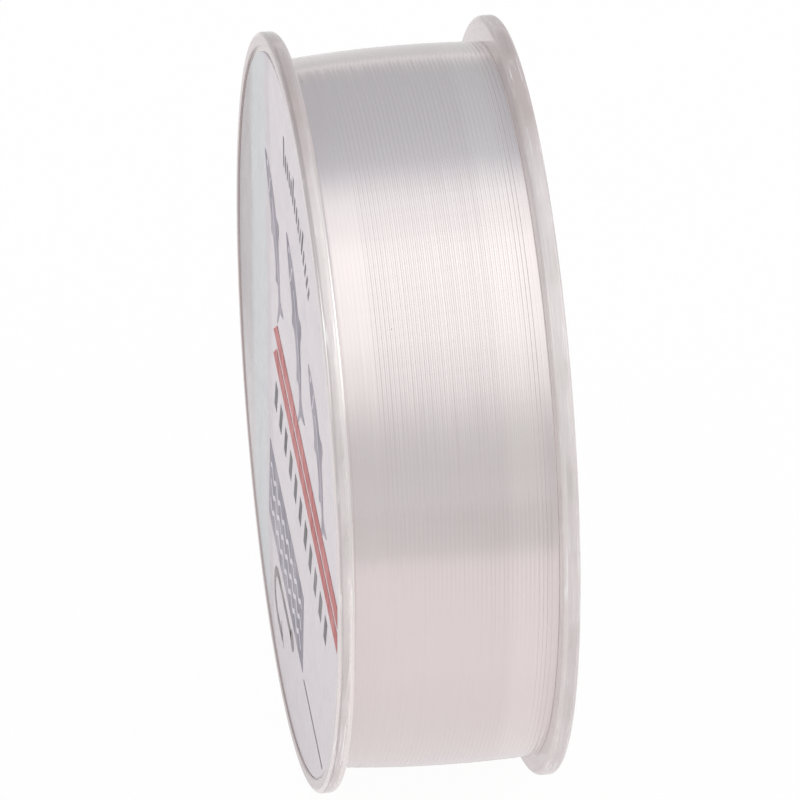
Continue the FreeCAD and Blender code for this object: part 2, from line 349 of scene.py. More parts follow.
    # Hairline scratches run across the faces.
    stretched = add(tree, "ShaderNodeMapping", {"Vector": place, "Scale": (1.0, 14.0, 0.35),
                                                "Rotation": (0.3, 0.5, 0.9)})
    scratch = noise(tree, stretched.outputs["Vector"], 1900.0, 5.0, 0.7)
    hairline = span(tree, scratch, 0.62, 0.68, 0, 1)
    rough = calculated(tree, "ADD", span(tree, haze, 0.35, 0.7, 0.015, 0.07),
                       span(tree, hairline, 0, 1, 0, 0.1))
    waves = bump(tree, flow, 0.12, 0.4 * MM)
    tree.links.new(blend(tree, worn, clear_tint, worn_tint_with_painted_light), shader.inputs["Base Color"])
    tree.links.new(rough, shader.inputs["Roughness"])
    tree.links.new(mirror, shader.inputs["Metallic"])
    tree.links.new(bump(tree, hairline, 0.05, 0.02 * MM, waves), shader.inputs["Normal"])
    tree.links.new(span(tree, milky, 0, 1, 0.96, 0.2), shader.inputs["Transmission Weight"])
    shader.inputs["IOR"].default_value = 1.59
    return material


def finish_tree(tree, geometry, material, made):
    """Ends a geometry tree in real geometry that has its material."""
    real = add(tree, "GeometryNodeRealizeInstances", {0: geometry})
    coated = add(tree, "GeometryNodeSetMaterial", {"Geometry": real.outputs[0],
                                                   "Material": material})
    tree.links.new(coated.outputs[0], made.inputs["Geometry"])


def join_webs():
    """A geometry tree that stands webs round the axis and unites them with a moulding."""
    tree, given, made = new_tree("webs round the hub")
    named_inputs(tree, "Int", "Webs")
    named_inputs(tree, "Float", "Wall", "Inner Radius", "Outer Radius", "Front", "Rear")
    named_inputs(tree, "Material", "Material")
    value = given.outputs
    reach = calculated(tree, "SUBTRACT", value["Outer Radius"], value["Inner Radius"])
    length = calculated(tree, "SUBTRACT", value["Rear"], value["Front"])
    size = add(tree, "ShaderNodeCombineXYZ", {"X": reach, "Y": length, "Z": value["Wall"]})
    block = add(tree, "GeometryNodeMeshCube", {"Size": size.outputs[0]})
    radii = calculated(tree, "ADD", value["Inner Radius"], value["Outer Radius"])
    ends = calculated(tree, "ADD", value["Front"], value["Rear"])
    centre = add(tree, "ShaderNodeCombineXYZ", {"X": product(tree, radii, 0.5),
                                                "Y": product(tree, ends, 0.5)})
    web = add(tree, "GeometryNodeTransform", {"Geometry": block.outputs["Mesh"],
                                              "Translation": centre.outputs[0]})
    points = add(tree, "GeometryNodePoints", {"Count": value["Webs"]})
    number = add(tree, "GeometryNodeInputIndex").outputs[0]
    step = calculated(tree, "DIVIDE", 2 * math.pi, value["Webs"])
    about = add(tree, "ShaderNodeCombineXYZ", {"Y": product(tree, number, step)})
    ring = add(tree, "GeometryNodeInstanceOnPoints", {"Points": points.outputs[0],
                                                      "Instance": web.outputs[0],
                                                      "Rotation": about.outputs[0]})
    webs = add(tree, "GeometryNodeRealizeInstances", {0: ring.outputs[0]})
    whole = add(tree, "GeometryNodeMeshBoolean", operation="UNION", solver="EXACT")
    tree.links.new(value["Geometry"], whole.inputs["Mesh 2"])
    tree.links.new(webs.outputs[0], whole.inputs["Mesh 2"])
    finish_tree(tree, whole.outputs["Mesh"], value["Material"], made)
    return tree


styrene = clear_styrene()
rear_outline = rounded_outline([
    (BORE_R, -INNER_Y + FIT, 0),
    (HUB_R, -INNER_Y + FIT, TUBE_END_ROUND),
    (HUB_R, INNER_Y, FOOT_ROUND),
    (DRUM_BORE_R, INNER_Y, FOOT_ROUND),
    (DRUM_BORE_R, -INNER_Y + FIT, TUBE_END_ROUND),
    (DRUM_R, -INNER_Y + FIT, TUBE_END_ROUND),
    (DRUM_R, INNER_Y, FOOT_ROUND),
    (FLANGE_R, INNER_Y, RIM_ROUND),
    (FLANGE_R, FACE_Y, FACE_ROUND),
    (RECESS_R, FACE_Y, RECESS_LIP),
    (RECESS_R, FACE_Y - RECESS_DEPTH, RECESS_FOOT),
    (BORE_R + MOUTH, FACE_Y - RECESS_DEPTH, 0),
    (BORE_R, FACE_Y - RECESS_DEPTH - MOUTH, 0),
])
barrel = finish_mesh("barrel", lathe("barrel", rear_outline), styrene)
webbed = evaluated(barrel, join_webs(), {
    "Webs": WEB_COUNT,
    "Wall": WEB_WALL,
    "Inner Radius": (BORE_R + HUB_R) / 2,
    "Outer Radius": (DRUM_R + DRUM_BORE_R) / 2,
    "Front": WEB_FRONT_Y,
    "Rear": (INNER_Y + FACE_Y) / 2,
    "Material": styrene,
})
rear_moulding = finish_mesh("rear_moulding", webbed, styrene)
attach(rear_moulding, "root")
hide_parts("rear_half")


# Front moulding: the front flange with the spigot that plugs the drum and the boss that
# holds the hub, in the same clear polystyrene. It is pressed home once the halves meet,
# and its shallow recess takes the label.
SPIGOT_R = 23.47 * MM
SPIGOT_BORE_R = 22.07 * MM
SPIGOT_END_Y = -5.3 * MM
BOSS_R = 8.23 * MM
BOSS_BORE_R = 6.83 * MM
BOSS_END_Y = -6.3 * MM
LEAD_IN = 0.15 * MM
WORN_LIP = 0.16 * MM

front_outline = rounded_outline([
    (BORE_R, -FACE_Y + RECESS_DEPTH, 0),
    (RECESS_R, -FACE_Y + RECESS_DEPTH, RECESS_FOOT),
    (RECESS_R, -FACE_Y, WORN_LIP),
    (FLANGE_R, -FACE_Y, FACE_ROUND),
    (FLANGE_R, -INNER_Y, RIM_ROUND),
    (SPIGOT_R, -INNER_Y, 0),
    (SPIGOT_R, SPIGOT_END_Y, LEAD_IN),
    (SPIGOT_BORE_R, SPIGOT_END_Y, LEAD_IN),
    (SPIGOT_BORE_R, -INNER_Y, FOOT_ROUND),
    (BOSS_R, -INNER_Y, FOOT_ROUND),
    (BOSS_R, BOSS_END_Y, LEAD_IN),
    (BOSS_BORE_R, BOSS_END_Y, LEAD_IN),
    (BOSS_BORE_R, -INNER_Y, 0),
    (BORE_R, -INNER_Y, 0),
])
front_moulding = finish_mesh("front_moulding", lathe("front_moulding", front_outline), styrene)
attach(front_moulding, "root")
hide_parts("front_half")


# Inner line: the layers of clear nylon under the outer one. Each layer's last turn lies
# against the flange, so the side faces are close rings. So many layers of clear line on
# each other look milky.
LINE_R = 0.185 * MM
TURN_PITCH = 0.3925 * MM
CROWN_R = 33.06 * MM
CROWN_FALL = 0.38 * MM
CROWN_TILT = 0.21 * MM
WINDING_DROP = 0.29 * MM
SIDE_GAP = 0.04 * MM
VALLEY_DEPTH = 0.055 * MM
RING_PITCH = 0.33 * MM
RING_HEIGHT = 0.035 * MM
RING_STEPS = 5
RING_PRESS = SIDE_GAP + 0.008 * MM
LAST_TURNS_Y = 8.3 * MM
LAST_TURNS_LEAN = -0.13
CORE_STEPS = 36
LINE_LATHE_STEPS = 240


def winding_radius(y):
    """The outer radius of the winding at this place along the axis."""
    share = y / INNER_Y
    return CROWN_R + CROWN_TILT * share - CROWN_FALL * share * share


def line_outline():
    """The wound line's section: a crowned face between two sides of rings."""
    side_y = INNER_Y - SIDE_GAP
    inner_r = DRUM_R + SIDE_GAP
    outline = []
    for side in (-1, 1):
        outer_r = winding_radius(side * side_y) - VALLEY_DEPTH
        count = int((outer_r - inner_r) / RING_PITCH) * RING_STEPS
        face = []
        for step in range(count + 1):
            r = inner_r + (outer_r - inner_r) * step / count
            wave = abs(math.sin(math.pi * step / RING_STEPS))
            face.append((r, side * (side_y + RING_PRESS - RING_HEIGHT * (1 - wave))))
        if side == -1:
            outline += face
            for step in range(1, CORE_STEPS):
                y = side_y * (2 * step / CORE_STEPS - 1)
                outline.append((winding_radius(y) - VALLEY_DEPTH, y))
        else:
            outline += reversed(face)
    return outline


def evened_normal(tree, axes, share, sway):
    """The surface's normal, drawn by a share to the winding's own, which sways a little."""
    slope = span(tree, axes["Y"], -INNER_Y, INNER_Y,
                 -CROWN_R * (2 * CROWN_FALL + CROWN_TILT) / INNER_Y,
                 CROWN_R * (2 * CROWN_FALL - CROWN_TILT) / INNER_Y)
    # The last turns ride up a little against the rear flange.
    slope = calculated(tree, "ADD", slope,
                       span(tree, axes["Y"], LAST_TURNS_Y, LAST_TURNS_Y + 0.7 * MM,
                            0, LAST_TURNS_LEAN * CROWN_R))
    height = calculated(tree, "ADD", axes["Z"], WINDING_DROP)
    out = add(tree, "ShaderNodeCombineXYZ", {"X": axes["X"], "Y": slope, "Z": height})
    outward = add(tree, "ShaderNodeVectorMath", {0: out.outputs[0]}, operation="NORMALIZE")
    along = add(tree, "ShaderNodeVectorMath", {0: outward.outputs[0], 1: (0.0, 1.0, 0.0)},
                operation="CROSS_PRODUCT")
    swayed = add(tree, "ShaderNodeVectorMath",
                 {0: along.outputs[0], 1: sway, 2: outward.outputs[0]}, operation="MULTIPLY_ADD")
    true_normal = add(tree, "ShaderNodeNewGeometry").outputs["Normal"]
    mixed = add(tree, "ShaderNodeMix", data_type="VECTOR")
    for index, value in ((0, share), (4, true_normal), (5, swayed.outputs[0])):
        tree.links.new(value, mixed.inputs[index])
    return add(tree, "ShaderNodeVectorMath", {0: mixed.outputs[1]},
               operation="NORMALIZE").outputs[0]


def wound_nylon(name, has_sides):
    """Clear nylon as it looks wound: bright, faintly rose, each turn its own tone."""
    material, tree, shader = new_material(name)
    place, axes, round_way = object_place(tree)
    turn_tone = noise(tree, round_way, 2600.0, 2.0)
    group_tone = noise(tree, round_way, 420.0, 2.0)
    cloud = noise(tree, place, 60.0, 3.0)
    tone = blend(tree, turn_tone, colour(219, 209, 209), colour(225, 216, 216))
    tone = blend(tree, span(tree, group_tone, 0.3, 0.7, 0, 0.5), tone, colour(222, 213, 214))
    tone = blend(tree, span(tree, cloud, 0.35, 0.75, 0, 0.35), tone, colour(219, 207, 206))
    # A band of turns towards the rear flange is lighter.
    rear_lighter_band = product(tree, span(tree, axes["Y"], 4.4 * MM, 5.6 * MM, 0, 1),
                    span(tree, axes["Y"], 7.8 * MM, 8.6 * MM, 1, 0), 0.4)
    tone = blend(tree, rear_lighter_band, tone, colour(234, 226, 224))
    specks = span(tree, noise(tree, place, 1500.0, 1.0), 0.83, 0.85, 0, 0.7)
    tone = blend(tree, specks, tone, colour(110, 100, 102))
    rough = span(tree, turn_tone, 0.3, 0.7, 0.13, 0.17)
    evenness = calculated(tree, "MAXIMUM",
                          span(tree, axes["Y"], -6.8 * MM, -6.0 * MM, 0.92, 0.58),
                          span(tree, axes["Y"], 8.2 * MM, 8.9 * MM, 0.58, 0.97))
    if has_sides:
        depth = calculated(tree, "ABSOLUTE", axes["Y"])
        gleam = span(tree, depth, INNER_Y - 0.11 * MM, INNER_Y - 0.06 * MM, 0.8, 0.1)
        tree.links.new(gleam, shader.inputs["Metallic"])
        on_face = product(
            tree, span(tree, depth, INNER_Y - 0.09 * MM, INNER_Y - 0.05 * MM, 1, 0),
            span(tree, off_axis(tree, place), DRUM_R + 1 * MM, DRUM_R + 2 * MM, 0, 1))
        evenness = product(tree, on_face, evenness)
    else:
        shader.inputs["Metallic"].default_value = 0.8
    sway = span(tree, turn_tone, 0.25, 0.75, -0.02, 0.02)
    normal = evened_normal(tree, axes, evenness, sway)
    fine = noise(tree, round_way, 9000.0, 2.0)
    tree.links.new(tone, shader.inputs["Base Color"])
    tree.links.new(rough, shader.inputs["Roughness"])
    tree.links.new(bump(tree, fine, 0.05, 0.01 * MM, normal), shader.inputs["Normal"])
    shader.inputs["IOR"].default_value = 1.53
    shader.inputs["Coat Weight"].default_value = 0.25
    shader.inputs["Coat Roughness"].default_value = 0.08
    return material


inner_nylon = wound_nylon("inner_nylon", True)
core_mesh = lathe("inner_layers", line_outline(), LINE_LATHE_STEPS)
for vertex in core_mesh.vertices:
    out = math.hypot(vertex.co.x, vertex.co.z)
    vertex.co.z -= WINDING_DROP * (out - DRUM_R) / (CROWN_R - DRUM_R)
inner_layers = finish_mesh("inner_layers", core_mesh, inner_nylon)
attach(inner_layers, "root")
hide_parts("inner_line")


# Outer turns: the last layer, one unbroken drawn nylon line laid side by side by the
# winding machine. Its turns wander a little up and down and along the spool, and the
# layer is crowned in the middle.
TURN_STEPS = 156
WIRE_SIDES = 12
WANDER = 0.02 * MM
WANDER_SCALE = 1.1
DRIFT = 0.03 * MM
DRIFT_SCALE = 0.9
DRIFT_OFFSET = 40.0
SEED = 7.0
START_ANGLE = math.pi
END_GAP = 0.006 * MM
LINE_SHARP_ANGLE = math.radians(60)


def wound_layer():
    """A geometry tree that winds one line round the axis, from the front to the rear."""
    tree, given, made = new_tree("outer layer of line")
    named_inputs(tree, "Float", "Turns", "Line Radius", "Half Width", "Face Half Width",
                 "Crown Radius", "Crown Fall", "Crown Tilt", "Wander", "Drift", "Drop",
                 "Start", "Seed")
    named_inputs(tree, "Int", "Steps per Turn", "Sides")
    named_inputs(tree, "Material", "Material")
    value = given.outputs

    points = product(tree, value["Turns"], value["Steps per Turn"])
    line = add(tree, "GeometryNodeCurvePrimitiveLine")
    divided = add(tree, "GeometryNodeResampleCurve", {"Curve": line.outputs[0], "Count": points})
    share = add(tree, "GeometryNodeSplineParameter").outputs["Factor"]
    turn = product(tree, share, value["Turns"])
    angle = calculated(tree, "ADD", product(tree, turn, 2 * math.pi), value["Start"])

    def random_line(scale, offset):
        """A smooth random value from -1 to 1 that runs on along the line."""
        at = calculated(tree, "ADD", turn, calculated(tree, "ADD", value["Seed"], offset))
        level = add(tree, "ShaderNodeTexNoise", {"W": at, "Scale": scale, "Detail": 1.0},
                    noise_dimensions="1D").outputs["Fac"]
        return product(tree, calculated(tree, "SUBTRACT", level, 0.5), 2.0)

    # Along the spool the turns drift a little, but not at the two flanges.
    centred = calculated(tree, "SUBTRACT", product(tree, share, 2.0), 1.0)
    near_flange = calculated(tree, "POWER", calculated(tree, "ABSOLUTE", centred), 12.0)
    drift = product(tree, random_line(DRIFT_SCALE, DRIFT_OFFSET), value["Drift"])
    y = calculated(tree, "ADD", product(tree, centred, value["Half Width"]),
                   product(tree, drift, calculated(tree, "SUBTRACT", 1.0, near_flange)))

    # The layer's radius follows the crown and wanders a little.
    side = calculated(tree, "DIVIDE", y, value["Face Half Width"])
    fall = product(tree, side, side, value["Crown Fall"])
    surface = calculated(tree, "ADD", calculated(tree, "SUBTRACT", value["Crown Radius"], fall),
                         product(tree, side, value["Crown Tilt"]))
    wander = product(tree, random_line(WANDER_SCALE, 0.0), value["Wander"])
    radius = calculated(tree, "SUBTRACT", calculated(tree, "ADD", surface, wander),
                        value["Line Radius"])
    place = add(tree, "ShaderNodeCombineXYZ", {
        "X": product(tree, radius, calculated(tree, "COSINE", angle)),
        "Y": y,
        "Z": calculated(tree, "SUBTRACT",
                        product(tree, radius, calculated(tree, "SINE", angle)), value["Drop"]),
    })
    laid = add(tree, "GeometryNodeSetPosition", {"Geometry": divided.outputs[0],
                                                 "Position": place.outputs[0]})
    section = add(tree, "GeometryNodeCurvePrimitiveCircle", {"Resolution": value["Sides"],
                                                             "Radius": value["Line Radius"]})
    tube = add(tree, "GeometryNodeCurveToMesh", {"Curve": laid.outputs[0],
                                                 "Profile Curve": section.outputs[0],
                                                 "Fill Caps": True})
    finish_tree(tree, tube.outputs[0], value["Material"], made)
    return tree


outer_nylon = wound_nylon("outer_nylon", False)
turn_reach = INNER_Y - END_GAP - LINE_R
turns = round(2 * turn_reach / TURN_PITCH)
line_start = bpy.data.objects.new("line_start", bpy.data.meshes.new("line_start"))
bpy.context.scene.collection.objects.link(line_start)
turn_mesh = evaluated(line_start, wound_layer(), {
    "Turns": float(turns),
    "Steps per Turn": TURN_STEPS,
    "Sides": WIRE_SIDES,
    "Line Radius": LINE_R,
    "Half Width": turn_reach,
    "Face Half Width": INNER_Y,
    "Crown Radius": CROWN_R,
    "Crown Fall": CROWN_FALL,
    "Crown Tilt": CROWN_TILT,
    "Wander": WANDER,
    "Drift": DRIFT,
    "Drop": WINDING_DROP,
    "Start": START_ANGLE,
    "Seed": SEED,
    "Material": outer_nylon,
})
outer_layer = finish_mesh("outer_layer", turn_mesh, outer_nylon, LINE_SHARP_ANGLE)
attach(outer_layer, "root")
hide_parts("outer_turns")


# Label: a round film stuck in the front recess, over the arbor hole. The film is glossy
# white with a lilac cast, with painted reflections in dark grey and pale blue on its left
# side, and waves a little on its glue.
label_low, label_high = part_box("front_label")
LABEL_R = (label_high.x - label_low.x) / 2
LABEL_Z = (label_high.z + label_low.z) / 2
GLUE = 0.02 * MM
LABEL_BACK_Y = label_high.y + GLUE
LABEL_FRONT_Y = label_low.y
LABEL_EDGE = 0.04 * MM
LABEL_RINGS = 40


def label_disc():
    """The film's closed disc, its front edge cut at a slant."""
    mesh = bmesh.new()
    front = [(LABEL_R - LABEL_EDGE) * step / LABEL_RINGS for step in range(1, LABEL_RINGS + 1)]
    levels = [(r, LABEL_FRONT_Y) for r in front]
    levels += [(LABEL_R, LABEL_FRONT_Y + LABEL_EDGE), (LABEL_R, LABEL_BACK_Y)]
    rings = []
    for r, y in levels:
        ring = []
        for step in range(LATHE_STEPS):
            angle = 2 * math.pi * step / LATHE_STEPS
            ring.append(mesh.verts.new((r * math.cos(angle), y, r * math.sin(angle) + LABEL_Z)))
        rings.append(ring)
    for inner, outer in zip(rings, rings[1:]):
        for at in range(LATHE_STEPS):
            on = (at + 1) % LATHE_STEPS
            mesh.faces.new((inner[at], inner[on], outer[on], outer[at]))
    mesh.faces.new(rings[-1])
    middle = mesh.verts.new((0, LABEL_FRONT_Y, LABEL_Z))
    for at in range(LATHE_STEPS):
        mesh.faces.new((middle, rings[0][at], rings[0][(at + 1) % LATHE_STEPS]))
    return plain_mesh(mesh, "label_film")


def ramp(tree, factor, stops, interpolation="LINEAR"):
    """The colour at this place on a ramp through stops of (position, colour)."""
    node = add(tree, "ShaderNodeValToRGB", {"Fac": factor})
    shades = node.color_ramp
    shades.interpolation = interpolation
    while len(shades.elements) < len(stops):
        shades.elements.new(0.5)
    for element, (position, shade) in zip(shades.elements, stops):
        element.position = position
        element.color = shade
    return node.outputs[0]


def glossy_film():
    """Glossy lilac white film, with painted reflections on its left side: dark grey at the far
    left, then pale blue, lighter low down.
    """
    material, tree, shader = new_material("glossy_film")
    place = add(tree, "ShaderNodeTexCoord").outputs["Object"]
    axes = add(tree, "ShaderNodeSeparateXYZ", {"Vector": place}).outputs
    grain = noise(tree, place, 700.0, 3.0)
    drift = span(tree, noise(tree, place, 70.0, 2.0), 0, 1, -2.5 * MM, 2.5 * MM)
    across = calculated(tree, "ADD", axes["X"], drift)
    # Painted reflections on the left: dark grey at the far left, then pale blue, then a lilac
    # grey, and the film's own lilac white from the middle on.
    painted_reflection_bands = ramp(tree, span(tree, across, -34 * MM, 6 * MM, 0, 1), (
        (0.0, colour(161, 155, 157)), (0.2, colour(167, 161, 164)),
        (0.3, colour(195, 201, 204)), (0.46, colour(201, 204, 209)),
        (0.54, colour(199, 190, 196)), (0.62, colour(217, 209, 214))), "EASE")
    # Painted reflection: lighter low down on the left side.
    low_left_reflection = product(tree, span(tree, across, -27 * MM, -20 * MM, 1, 0),
                       span(tree, axes["Z"], -5 * MM, -19 * MM, 0, 1))
    tone = blend(tree, low_left_reflection, painted_reflection_bands, colour(221, 215, 217))
    tone = blend(tree, span(tree, grain, 0.3, 0.7, 0, 0.12), tone, colour(200, 196, 202))
    warp = noise(tree, place, 45.0, 1.0)
    tree.links.new(tone, shader.inputs["Base Color"])
    tree.links.new(span(tree, grain, 0.3, 0.7, 0.18, 0.26), shader.inputs["Roughness"])
    tree.links.new(bump(tree, grain, 0.04, 0.02 * MM, bump(tree, warp, 0.1, 1.0 * MM)),
                   shader.inputs["Normal"])
    shader.inputs["IOR"].default_value = 1.5
    shader.inputs["Specular IOR Level"].default_value = 0.1
    return material


film = glossy_film()
label_film = finish_mesh("label_film", label_disc(), film)
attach(label_film, "root")
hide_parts("front_label")


# Label print: three leaping fish over a double red stripe, a row of slanted bars, a violet
# panel with waves, a hook, a rule and a scale of ticks. The inks are screen printed on the
# film, so they stand on it by a hair, and one printed over another stands on that.
INK_HEIGHT = 0.015 * MM
PRINT_R = LABEL_R - 0.5 * MM
PRINT_TURN = math.radians(-7)
STRIPE_START = -9.5
BAR_COUNT = 11
BAR_PITCH = 3.3
TICK_COUNT = 15
TICK_ARC_R = 26.0
LONG_TICK = 3.0
SHORT_TICK = 1.7
PANEL_LEFT = -11.0
PANEL_RIGHT = 12.0
PANEL_FOOT = -21.0
PANEL_TOP = -12.0
WAVE_COUNT = 3
WAVE_PITCH = 2.2
HOOK_SIZE = 5.6
HOOK_UP = -23.2


def printed(name, outlines, material, lift=0.0):
    """Flat closed prints from outlines of (across, up) points in millimetres."""
    mesh = bmesh.new()
    turned = Matrix.Rotation(PRINT_TURN, 2)
    for outline in outlines:
        flat = [turned @ Vector(p) * MM for p in outline]
        foot = [mesh.verts.new((p.x, LABEL_FRONT_Y - lift, p.y + LABEL_Z)) for p in flat]
        top = [mesh.verts.new((p.x, LABEL_FRONT_Y - lift - INK_HEIGHT, p.y + LABEL_Z))
               for p in flat]
        mesh.faces.new(foot)
        mesh.faces.new(list(reversed(top)))
        for at in range(len(flat)):
            on = (at + 1) % len(flat)
            mesh.faces.new((foot[at], top[at], top[on], foot[on]))
    piece = finish_mesh(name, plain_mesh(mesh, name, in_triangles=True), material)
    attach(piece, "root")
    return piece


def printing_ink(name, light, dark, streak):
    """Screen printing ink, streaked between two near tones, a little less glossy."""
    material, tree, shader = new_material(name)
    place = add(tree, "ShaderNodeTexCoord").outputs["Object"]
    pulled = add(tree, "ShaderNodeMapping", {"Vector": place, "Scale": (1.0, 1.0, 0.25),
                                             "Rotation": (0.0, 0.5, 0.0)})
    streaks = noise(tree, pulled.outputs["Vector"], streak, 4.0, 0.6)
    tree.links.new(blend(tree, span(tree, streaks, 0.35, 0.65, 0, 1), light, dark),
                   shader.inputs["Base Color"])
    tree.links.new(span(tree, streaks, 0.3, 0.7, 0.24, 0.4), shader.inputs["Roughness"])
    tree.links.new(bump(tree, streaks, 0.1, 0.02 * MM), shader.inputs["Normal"])
    shader.inputs["IOR"].default_value = 1.5
    shader.inputs["Specular IOR Level"].default_value = 0.2
    return material


def smooth_loop(corners, steps=4):
    """A closed curve that runs smoothly through these points."""
    points = [Vector(corner) for corner in corners]
    loop = []
    for at, here in enumerate(points):
        before = points[at - 1]
        on, after = points[(at + 1) % len(points)], points[(at + 2) % len(points)]
        for step in range(steps):
            t = step / steps
            loop.append(here + (on - before) * (0.5 * t)
                        + (before * 2 - here * 5 + on * 4 - after) * (0.5 * t * t)
                        + (here * 3 - before - on * 3 + after) * (0.5 * t ** 3))
    return loop


def on_fish(point, across, up, length, lean):
    """Where a point of the straight fish comes to lie on the arched and leaping one."""
    arched = Vector((point[0], point[1] + 0.5 * (0.25 - point[0] ** 2)))
    return Vector((across, up)) + Matrix.Rotation(math.radians(lean), 2) @ arched * length


def leaping_fish():
    """A fish's outline, one unit long, its nose to the left: slim, with a forked tail."""
    return smooth_loop([
        (-0.5, -0.01), (-0.44, 0.035), (-0.3, 0.09), (-0.16, 0.115), (-0.08, 0.12),
        (-0.02, 0.2), (0.03, 0.185), (0.09, 0.105), (0.22, 0.075), (0.36, 0.04),
        (0.42, 0.075), (0.5, 0.17), (0.475, 0.06), (0.455, 0.0), (0.475, -0.06),
        (0.5, -0.17), (0.42, -0.075), (0.36, -0.04), (0.29, -0.055), (0.26, -0.13),
        (0.17, -0.09), (0.02, -0.11), (-0.03, -0.18), (-0.11, -0.12), (-0.28, -0.11),
        (-0.42, -0.065)])


def slanted_bar(across, up, wide, tall, lean=0.25):
    """A leaning bar's outline."""
    shift = tall * lean
    return [(across, up), (across + wide, up), (across + wide + shift, up + tall),
            (across + shift, up + tall)]


def stripe(up, tall, start, reach):
    """A level stripe that ends on the print's edge circle."""
    def end(level):
        return math.sqrt(max(0.0, (reach / MM) ** 2 - level * level))
    return [(start, up), (end(up), up), (end(up + tall), up + tall), (start + tall, up + tall)]


def ribbon(path, wide):
    """The outline of a line of even width along a path of points."""
    points = [Vector(p) for p in path]
    left, right = [], []
    for at, here in enumerate(points):
        ahead = points[min(at + 1, len(points) - 1)] - points[max(at - 1, 0)]
        side = Vector((-ahead.y, ahead.x)).normalized() * wide / 2
        left.append(here + side)
        right.append(here - side)
    return left + list(reversed(right))


def hook_path(across, up, size):
    """A fish hook's line: a long shank, a round bend and a short point."""
    path = [(across + size * (1.5 - step * 0.1), up) for step in range(16)]
    for step in range(1, 19):
        angle = math.pi / 2 + math.pi * step / 18
        path.append((across + 0.45 * size * math.cos(angle),
                     up - 0.45 * size + 0.45 * size * math.sin(angle)))
    path += [(across + size * 0.08 * step, up - 0.9 * size) for step in range(1, 7)]
    return path


def round_dot(across, up, radius):
    """A round dot's outline."""
    return [(across + radius * math.cos(math.tau * step / 24),
             up + radius * math.sin(math.tau * step / 24)) for step in range(24)]


violet_ink = printing_ink("violet_ink", colour(148, 140, 156), colour(118, 112, 130), 500.0)
red_ink = printing_ink("red_ink", colour(196, 62, 60), colour(176, 44, 44), 900.0)
black_ink = printing_ink("black_ink", colour(52, 48, 52), colour(34, 31, 35), 800.0)
grey_ink = printing_ink("grey_ink", colour(128, 122, 122), colour(98, 92, 94), 400.0)
pale_ink = printing_ink("pale_ink", colour(224, 218, 226), colour(214, 208, 218), 400.0)

# Each fish's place across and up, its length and its lean.
fish_places = [(-11.0, 12.4, 16.0, -46), (3.2, 12.9, 17.5, -52), (18.0, 10.6, 16.0, -47)]
fish_shapes, fish_marks = [], []
for fish_place in fish_places:
    fish_shapes.append([on_fish(point, *fish_place) for point in leaping_fish()])
    eye = on_fish((-0.41, 0.02), *fish_place)
    gill = [on_fish((-0.28 - 0.03 * math.cos(math.pi * step / 8), 0.07 - 0.02 * step), *fish_place)
            for step in range(9)]
    flank = [on_fish((-0.2 + 0.06 * step, 0.012), *fish_place) for step in range(9)]
    fish_marks += [round_dot(eye.x, eye.y, 0.36), ribbon(gill, 0.28), ribbon(flank, 0.26)]
printed("print_fish", fish_shapes, violet_ink)
printed("print_fish_marks", fish_marks, pale_ink, INK_HEIGHT)

printed("print_red_stripes", [
    stripe(2.4, 2.2, STRIPE_START, PRINT_R),
    stripe(-0.4, 2.1, STRIPE_START, PRINT_R),
], red_ink, INK_HEIGHT)

bar_row = [slanted_bar(-8.5 + BAR_PITCH * number, -5.6, 1.5 - 0.08 * (number % 3), 3.2)
           for number in range(BAR_COUNT)]
printed("print_bars", bar_row, black_ink)

scale_ticks = []
for number in range(TICK_COUNT):
    angle = math.radians(100 - 2.6 * number)
    tall = LONG_TICK if number % 5 == 0 else SHORT_TICK
    outward = Vector((math.cos(angle), math.sin(angle)))
    scale_ticks.append(ribbon([outward * TICK_ARC_R, outward * (TICK_ARC_R + tall)], 0.55))
printed("print_scale", scale_ticks, black_ink)

printed("print_panel", [[(PANEL_LEFT, PANEL_FOOT), (PANEL_RIGHT, PANEL_FOOT),
                         (PANEL_RIGHT, PANEL_TOP), (PANEL_LEFT, PANEL_TOP)]], violet_ink)
wave_lines = []
for number in range(WAVE_COUNT):
    path = [(-10.0 + 0.4 * step,
             -14.4 - WAVE_PITCH * number + 0.45 * math.sin(0.9 * step + number))
            for step in range(53)]
    wave_lines.append(ribbon(path, 0.5))
printed("print_waves", wave_lines, pale_ink, INK_HEIGHT)

printed("print_rule", [stripe(-21.4, 0.35, 12.6, PRINT_R)], black_ink)
printed("print_hook", [ribbon(hook_path(-4.0, HOOK_UP, HOOK_SIZE), 1.0),
                       round_dot(5.0, HOOK_UP, 1.1),
                       [(-1.3, -28.3), (-0.2, -28.7), (-2.1, -26.9)]], grey_ink)


# Floor: a plain white sheet that the spool stands on. It shows as the white background
# and keeps a faint soft shadow. For the winding's reflections it glows, with a painted
# shadow near the spool, painted shade far out and to the sides and a painted rose tint
# near the spool.
FLOOR_HALF = 3.0
FLOOR_REACH = 200
FLOOR_CLEAR = 0.02 * MM
WHITE_SHARE = 0.96
WHITE = (1, 1, 1, 1)


def seen_by(tree, *kinds):
    """1 for a ray of any of these kinds, 0 for the others."""
    path = add(tree, "ShaderNodeLightPath").outputs
    seen = path[kinds[0]]
    for kind in kinds[1:]:
        seen = calculated(tree, "MAXIMUM", seen, path[kind])
    return seen


